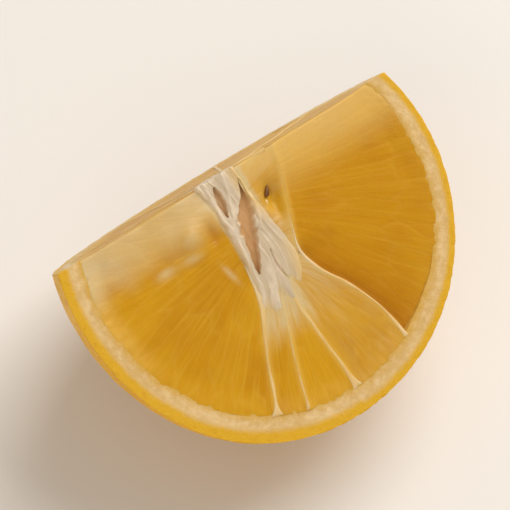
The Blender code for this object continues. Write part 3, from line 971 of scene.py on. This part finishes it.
def make_wall(name, path, facing, half_width, proud, thick, below=WALL_BELOW):
    """A ribbon on edge along a path: a rounded crown, and straight sides down into the flesh.

    Each section is a half ellipse joined to two lower corners, set square to the path, which
    wanders a little. The width swells and shrinks along it.
    """
    facing = np.array(facing, float)
    along = np.gradient(path, axis=0)
    side = np.cross(along, facing)
    side /= np.linalg.norm(side, axis=-1, keepdims=True)
    seed = sum(map(ord, name))
    reach = np.arange(len(path)) * np.linalg.norm(along, axis=-1).mean()
    path = path + side * (WALL_WANDER * drift(reach / 3.5, 0.0 * reach, seed))[:, None]
    width = half_width * (1.0 + 0.3 * drift(reach / 2.5, 0.0 * reach + 5.0, seed))
    turn = np.linspace(math.pi, 0.0, 11)
    offset = np.concatenate(((-0.7,), np.cos(turn), (0.7,)))
    level = np.concatenate(((-below,), WALL_CROWN * (np.sin(turn) - 1.0), (-below,)))
    rough = WALL_ROUGH * drift(reach[:, None] / 0.35, offset[None, :] * 3.0, seed + 1)
    lift = (proud[:, None] + level[None, :] + rough)[..., None]
    sideways = side[:, None, :] * (width[:, None] * offset[None, :])[..., None]
    rings = path[:, None, :] + sideways + facing * lift
    ends = rings[[0, -1]].mean(axis=1)
    values = (("thick", np.concatenate((np.repeat(thick, rings.shape[1]), thick[[0, -1]]))),)
    points = np.concatenate((rings.reshape(-1, 3), ends))
    make_piece(name, points, ring_faces(*rings.shape[:2]), wall, values)


def make_face_wall(name, line, start, half_width, proud):
    """A wall on the lengthwise cut, along one of its lines from a depth to just under the rind.

    It stands proud of the flesh, less above the core's neck. It is widest near the core, and its
    foot spreads towards the rind and dips under it.
    """
    down = np.linspace(start, LOWEST, math.ceil((LOWEST - start) / WALL_STEP))
    right = follow(line, down)
    kept = rind_inset(right, down) > -0.9
    right, down = right[kept], down[kept]
    inset = rind_inset(right, down)
    foot = np.exp(-np.maximum(inset, -0.5) / FOOT_REACH)
    below_neck = 1.0 - ease(-down, -15.0, -10.0)
    near_core = ease(-down, -23.0, -15.0) * below_neck
    height = lengthwise_height(right, down) + proud * below_neck + 0.06 * near_core
    height = height + 0.05 * bell(inset, 3.0) - FOOT_DIP * ease(-inset, 0.2, 0.8)
    height = height - 0.5 * (1.0 - ease(down - start, 0.0, 2.5)) * (start > 1.0)
    spread = 1.0 + 0.9 * near_core * ease(down, 13.0, 20.0) + 1.2 * foot
    width = half_width * spread * (0.5 + 0.5 * ease(down, 12.0, 19.0))
    path = np.stack((right, down, 0.0 * down), axis=-1)
    thick = np.clip(near_core + 0.4 * bell(inset, 1.2), 0.0, 1.0)
    make_wall(name, path, (0.0, 0.0, 1.0), width, height, thick)


def make_cross_wall(name, turn):
    """A wall on the cut across, straight from the core's edge to just under the rind.

    It is thickest at the core, and its foot spreads towards the rind.
    """
    turn = np.array(turn)
    radius = np.linspace(core_reach(turn) - 0.4, cross_rind_reach(turn) + 0.4, 130)
    path = np.stack((-radius * np.cos(turn), 0.0 * radius, -radius * np.sin(turn)), axis=-1)
    inset = cross_rind_reach(turn) - radius
    near_core = bell(inset - inset[0], 2.5)
    spread = 1.0 + 0.8 * near_core + 1.8 * (1.0 - ease(inset, 0.0, 1.8))
    width = CROSS_WALL_HALF_WIDTH * spread
    height = cross_height(turn, radius) + CROSS_WALL_PROUD - FOOT_DIP * ease(-inset, 0.0, 0.4)
    make_wall(name, path, (0.0, -1.0, 0.0), width, height, near_core)


def make_thin_wall():
    """The wall of the thin segment's sliver: straight from near the right wall's top to the core."""
    share = np.linspace(0.18, 1.0, 50)
    right = RIGHT_WALL[0][1] + (THIN_WALL_FOOT - RIGHT_WALL[0][1]) * share
    path = np.stack((right, 0.0 * share, -THIN_WALL_DEPTH * share), axis=-1)
    width, proud = np.full(50, THIN_WALL_HALF_WIDTH), np.full(50, THIN_WALL_PROUD)
    make_wall("wall_thin", path, (0.0, -1.0, 0.0), width, proud, np.zeros(50), THIN_WALL_BELOW)


make_face_wall("wall_left", LEFT_WALL, 12.0, 0.27, 0.06)
make_face_wall("wall_second", SECOND_LINE, 20.5, 0.16, 0.03)
make_face_wall("wall_third", THIRD_LINE, 19.5, 0.28, 0.05)
make_face_wall("wall_right", RIGHT_WALL, 0.3, 0.2, 0.05)
for number, turn in enumerate(CROSS_WALLS):
    make_cross_wall(f"wall_under_{number + 1}", turn)
make_thin_wall()

# Core
# The spongy white column along the fruit's axis, cut lengthwise: fibres that part round a slanting
# hollow, with a ragged left edge, and a lower end that frays out over the narrow segments' tops.
CORE_RIGHT_SIDE = (
    (0, 2.0), (5, 2.2), (10, 3.0), (16, 4.0), (18, 3.6), (20, 2.8), (23, 1.6), (27, 0.8),
)
CORE_LOW_END = 26.5
CORE_PROUD = 0.1
CORE_SINK = 0.55
CORE_COLUMNS = 84
CORE_ROWS = 266
CORE_UNDER_ROWS = 48
FIBRES_ACROSS = 24.0
FIBRE_HEIGHT = 0.1
THREAD_HEIGHT = 0.04
CORE_LUMPS = 0.07
HOLLOW_LINES = (
    (((1.2, -2.6), (4, -2.8), (6.2, -3.1)), ((1.2, 0.1), (3.0, 0.55), (4.6, 0.5), (6.2, 0.1)), 0.8),
    (
        ((2, 1.4), (4, 1.0), (7, -0.4), (10, -1.5), (13, -2.4), (16, -3.4)),
        ((2, 0.1), (4, 0.4), (7, 1.35), (9, 1.4), (11, 1.0), (13, 0.75), (14.5, 0.5), (16, 0.1)),
        1.1,
    ),
    (((13.5, 0.0), (16, -0.3), (19.5, 0.3)), ((13.5, 0.05), (16, 0.2), (19.5, 0.05)), 0.25),
)
STRANDS = (
    (((0, -0.6), (3, -1.2), (7.5, -2.7)), 0.28, 0.16, 8.0),
    (((0, 1.1), (5, 2.0), (10, 0.6)), 0.26, 0.18, 11.0),
    (((0, -3.8), (5, -4.0), (10, -3.6), (14, -4.4)), 0.35, 0.18, 15.0),
    (((0, -4.9), (6, -4.4), (11, -4.3), (19, -5.0)), 0.25, 0.12, 18.0),
)
CORE_WHITE = ((0.745, 0.62, 0.465, 1), (0.61, 0.50, 0.36, 1))
CORE_GROOVE = (0.54, 0.42, 0.26, 1)
CORE_GOLD = (0.70, 0.48, 0.18, 1)
CORE_HOLLOW = (0.62, 0.36, 0.15, 1)


def core_material():
    """Moist white fibres, greyer in the grooves between them and pinkish brown in the hollow."""
    material, tree, shader = new_material(
        "lemon_core", subsurface_weight=0.4, subsurface_scale=0.0007, subsurface_radius=(1.0, 0.75, 0.5),
        ior=1.38, coat_weight=0.3, coat_roughness=0.3
    )
    where, fibre = in_frame(tree), attribute(tree, "fibre")
    cloud = mottle(tree, where, 320.0)
    colour = blend(tree, spread_share(tree, cloud, 0.3, 0.7), *CORE_WHITE)
    colour = blend(tree, spread_share(tree, fibre, 0.25, 0.9, 0.65, 0.0), colour, CORE_GROOVE)
    colour = blend(tree, attribute(tree, "golden"), colour, CORE_GOLD)
    colour = blend(tree, attribute(tree, "hollow"), colour, CORE_HOLLOW)
    gloss = spread_share(tree, cloud, 0.3, 0.7, 0.38, 0.52)
    dress(tree, shader, colour, gloss, total(tree, mottle(tree, where, 1500.0), fibre), 0.3, 0.00012)
    return material


def core_height(right, down, share):
    """Height of the core and its values: fibres along its length, strands, splits and hollows.

    The lower end dips under the flesh, later where a wall meets it, so that it frays to points.
    """
    lanes = share * FIBRES_ACROSS + 0.5 * drift(down / 3.0, share * 3.0, 91)
    fibre = 0.5 + 0.5 * drift(lanes, down / 4.0, 92)
    threads = drift(lanes * 2.6, down / 1.6, 96)
    height = CORE_PROUD + FIBRE_HEIGHT * (fibre - 0.5) + THREAD_HEIGHT * threads
    height = height + CORE_LUMPS * drift(right / 1.1, down / 2.2, 93)
    for line, width, rise, end in STRANDS:
        wander = 0.16 * drift(down / 2.2, right * 0.0 + end, 90)
        ridge = bell(right - follow(line, down) - wander, width) * ease(end - down, 0.0, 1.5)
        height = height + rise * ridge
        fibre = np.maximum(fibre, 1.2 * ridge)
    hollow = 0.0 * height
    for line, width, depth in HOLLOW_LINES:
        wide = follow(width, down) * (down > line[0][0]) * (down < line[-1][0]) + 0.001
        wide = wide * (1.0 + 0.25 * drift(down * 1.6, right * 0.4, 94))
        pit = ease(-np.abs(right - follow(line, down)), -1.15 * wide - 0.05, -0.55 * wide)
        pit = pit * (wide > 0.04)
        height = height - depth * pit
        hollow = np.maximum(hollow, pit * min(1.0, depth))
    walls = sum(bell(right - follow(line, down), 0.5) for line in (LEFT_WALL, SECOND_LINE, THIRD_LINE))
    frayed = down - 3.0 * np.clip(walls, 0.0, 1.0) + 2.0 * drift(lanes * 0.42, down / 8.0, 95)
    height = height - 0.35 * ease(frayed, 16.0, 22.5) - 0.6 * ease(frayed, 21.0, 26.0)
    right_edge = ease(share, 0.6, 0.95) * np.maximum(ease(-down, -12.0, -6.0), ease(down, 11.0, 17.0))
    left_edge = ease(-share, -0.14, 0.0)
    golden = np.maximum(ease(frayed, 18.0, 22.5), np.maximum(0.9 * right_edge, 0.7 * left_edge))
    return height, hollow, fibre, golden


def make_core():
    """The core as one folded solid: rows up the lengthwise cut, then down the cut across.

    Its borders sink under the flesh, by a ragged line on the left and fraying fibres on the right.
    Under the top edge it is a half ellipse with a fine grain and a small pit.
    """
    share = np.linspace(0.0, 1.0, CORE_COLUMNS)[None, :]
    down = np.linspace(CORE_LOW_END, 0.0, CORE_ROWS)[:, None]
    ragged = 0.3 * drift(down / 2.6, 0.0 * down, 97) + 0.12 * drift(down / 0.9, 0.0 * down, 89)
    left = follow(LEFT_WALL, down) - 0.25 - 0.3 * bell(down - 16.5, 3.5) + ragged * ease(down, 0.3, 1.0)
    right = left + (follow(CORE_RIGHT_SIDE, down) + 0.3 - left) * share
    height, hollow, fibre, golden = core_height(right, down + 0.0 * share, share + 0.0 * down)
    border = np.minimum(8.0 * share, 6.0 * (1.0 - share)) + 0.15 * drift(down / 2.0, 7.0 * share, 99)
    fraying = 0.3 * ease(share, 0.6, 1.0) * ease(down, 7.0, 11.0)
    edge_dip = ease(border + fraying * drift(down / 5.0, 26.0 * share, 100), 0.0, 0.9)
    level = height * edge_dip - CORE_SINK * (1.0 - edge_dip)
    face = np.stack((right, down + 0.0 * share, level), axis=-1)

    below = np.linspace(0.0, 1.0, CORE_UNDER_ROWS)[:, None]
    half = CORE_HALF_WIDTH * np.sqrt(1.0 - (0.98 * below) ** 2) + 0.27
    across = CORE_MIDDLE + half * (2.0 * share - 1.0)
    under = CORE_BELOW * below + 0.0 * share
    grain = drift(across / 0.5, under / 0.5, 98)
    rim = ease(1.0 - np.hypot(2.0 * share - 1.0, 0.98 * below), 0.0, 0.2)
    lift = CORE_PROUD * rim - CORE_SINK * (1.0 - rim) + 0.05 * grain
    lift = lift - 0.9 * bell(across + 0.9, 0.9) * bell(under - 1.0, 1.4) * ease(under, 0.1, 0.8)
    other = np.stack((across, -lift, -under), axis=-1)
    fold(face, other)
    sheet = np.concatenate((face, other[1:]))
    inwards = np.zeros_like(sheet)
    inwards[: len(face)] = (0.0, 0.0, -1.0)
    inwards[len(face) :] = (0.0, 1.0, 0.0)
    extra, skirt, cone = closing(sheet, inwards, (-1.8, 9.0, -5.0))
    filler = np.zeros(len(extra))
    hollows = np.concatenate((hollow.ravel(), 0.7 * (lift[1:] < -0.3).ravel(), filler))
    fibres = np.concatenate((fibre.ravel(), (0.5 + 0.5 * grain[1:]).ravel(), filler))
    goldens = np.concatenate((golden.ravel(), np.zeros(other[1:].size // 3), filler))
    values = (("hollow", hollows), ("fibre", fibres), ("golden", goldens))
    points = np.concatenate((sheet.reshape(-1, 3), extra))
    faces = (grid_quads(*sheet.shape[:2]), skirt, cone)
    make_piece("lemon_core", points, faces, core_material(), values)


make_core()

# Seed
# The tip of a small dark brown seed, which lies slanting in its pocket beside the core. Its skin is
# dull and finely ribbed, and it is pointed towards the core.
SEED_MIDDLE = (4.45, 5.95, -0.72)
SEED_HALF = (0.52, 0.95, 0.46)
SEED_SLANT = math.radians(212.0)
SEED_RIBS = 0.03
DROP_ROWS = 34
DROP_COLUMNS = 40
SEED_BROWN = ((0.11, 0.036, 0.004, 1), (0.26, 0.10, 0.012, 1))


def seed_material():
    """Dull dark brown skin with paler ribs."""
    material, tree, shader = new_material(
        "lemon_seed", roughness=0.5, coat_weight=0.1, coat_roughness=0.3
    )
    grain = mottle(tree, in_frame(tree), 1300.0)
    colour = blend(tree, spread_share(tree, grain, 0.35, 0.7), *SEED_BROWN)
    dress(tree, shader, colour, None, grain, 0.4, 0.0001)
    return material


def make_drop(name, middle, half, slant, ribs, material):
    """A drop: an egg-shaped ball, drawn out to a point at its lower end, with faint ribs round it.

    Rows run from pole to pole. The width is the sine of the row's angle, less near the point.
    """
    row = np.linspace(0.0, math.pi, DROP_ROWS)[1:-1, None]
    turn = (2.0 * math.pi * np.arange(DROP_COLUMNS) / DROP_COLUMNS)[None, :]
    width = np.sin(row) * (0.78 + 0.22 * np.cos(row)) ** 2 * (1.0 + ribs * np.cos(7.0 * turn))
    across, along = half[0] * width * np.cos(turn), -half[1] * np.cos(row) + 0.0 * turn
    out = half[2] * width * np.sin(turn)
    right = middle[0] + across * math.cos(slant) - along * math.sin(slant)
    down = middle[1] + across * math.sin(slant) + along * math.cos(slant)
    rings = np.stack((right, down, middle[2] + out), axis=-1)
    pole = half[1] * np.array((math.sin(slant), -math.cos(slant), 0.0))
    points = np.concatenate((rings.reshape(-1, 3), (middle + pole, middle - pole)))
    make_piece(name, points, ring_faces(*rings.shape[:2]), material)


make_drop("lemon_seed", SEED_MIDDLE, SEED_HALF, SEED_SLANT, SEED_RIBS, seed_material())

# Loose sacs
# A few juice sacs that the knife tore open or lifted: slim, pale and glassy, half sunk in the flesh
# of the left segment, below the swelling, and beside the seed.
SACS = (
    (-11.4, 8.6, 0.5, 1.9, 80.0), (-10.0, 8.0, 0.45, 1.3, 74.0), (-15.9, 8.5, 0.35, 1.7, 84.0),
    (-7.2, 13.7, 0.35, 1.8, 18.0), (3.45, 7.6, 0.5, 0.75, 10.0),
)
SAC_RIBS = 0.04
SAC_SINK = 0.55
SAC_FLATNESS = 0.8
SAC_PALE = ((0.82, 0.61, 0.30, 1), (0.74, 0.50, 0.18, 1))


def sac_material():
    """Glassy pale juice sac."""
    material, tree, shader = new_material(
        "lemon_sac", subsurface_weight=0.3, subsurface_scale=0.0003, ior=1.36, coat_weight=0.1,
        coat_roughness=0.2
    )
    grain = mottle(tree, in_frame(tree), 700.0)
    colour = blend(tree, spread_share(tree, grain, 0.35, 0.7), *SAC_PALE)
    dress(tree, shader, colour, spread_share(tree, grain, 0.3, 0.7, 0.22, 0.36))
    return material


loose = sac_material()
for number, (right, down, half_width, half_length, lean) in enumerate(SACS):
    surface = float(lengthwise_height(np.array(right), np.array(down)))
    middle = (right, down, surface - SAC_SINK * half_width)
    half = (half_width, half_length, SAC_FLATNESS * half_width)
    make_drop(f"sac_{number + 1}", middle, half, math.radians(lean), SAC_RIBS, loose)

# Floor, light and camera
# A plain pale surface, one large soft light from the right and behind, and a dim fill. The camera
# looks from the photograph's place, down on the lengthwise cut, through a longer lens.
TOP_EDGE = (0.0, CUT_FROM_MIDDLE * math.cos(LEAN), MIDDLE_HEIGHT + CUT_FROM_MIDDLE * math.sin(LEAN))
CAMERA_FROM_TOP_EDGE = (-116.5, -171.5, 370.5)
CAMERA_AIM = (-2.6, -2.9, 30.1)
LENS = 200.0
FLOOR_HALF = 1.5
FLOOR_COLOUR = (0.80, 0.775, 0.74, 1)
WORLD_COLOUR = (1.0, 0.91, 0.81, 1)
WORLD_STRENGTH = 0.40


def point_at(thing, target):
    """Turns a camera or a light to look at a target, level with the floor."""
    thing.rotation_euler = (Vector(target) - thing.location).to_track_quat("-Z", "Y").to_euler()


def add_light(name, location, size, power, colour):
    """A square area light that looks at the wedge."""
    light = bpy.data.lights.new(name, "AREA")
    light.size, light.energy, light.color = size, power, colour
    lamp = bpy.data.objects.new(name, light)
    lamp.location = location
    point_at(lamp, (0.0, 0.0, 0.02))
    bpy.context.scene.collection.objects.link(lamp)


floor_mesh = bpy.data.meshes.new("floor")
corners = [(x * FLOOR_HALF, y * FLOOR_HALF, 0.0) for x, y in ((-1, -1), (1, -1), (1, 1), (-1, 1))]
floor_mesh.from_pydata(corners, [], [(0, 1, 2, 3)])
floor_mesh.materials.append(new_material("pale_floor", roughness=0.6, base_color=FLOOR_COLOUR)[0])
floor = bpy.data.objects.new("floor", floor_mesh)
bpy.context.scene.collection.objects.link(floor)

add_light("key_light", (0.60, 0.16, 0.66), 0.75, 7.8, (1.0, 0.99, 0.975))
add_light("fill_light", (-0.60, -0.42, 0.35), 0.8, 2.8, (1.0, 0.91, 0.80))
world = bpy.data.worlds.new("studio")
world.use_nodes = True
backdrop = world.node_tree.nodes["Background"]
backdrop.inputs["Color"].default_value = WORLD_COLOUR
backdrop.inputs["Strength"].default_value = WORLD_STRENGTH
bpy.context.scene.world = world
bpy.context.scene.view_settings.view_transform = "Standard"

lens = bpy.data.cameras.new("camera")
lens.lens, lens.sensor_width = LENS, 36.0
camera = bpy.data.objects.new("camera", lens)
camera.location = [(edge + off) * MM for edge, off in zip(TOP_EDGE, CAMERA_FROM_TOP_EDGE)]
point_at(camera, [value * MM for value in CAMERA_AIM])
bpy.context.scene.collection.objects.link(camera)
bpy.context.scene.camera = camera
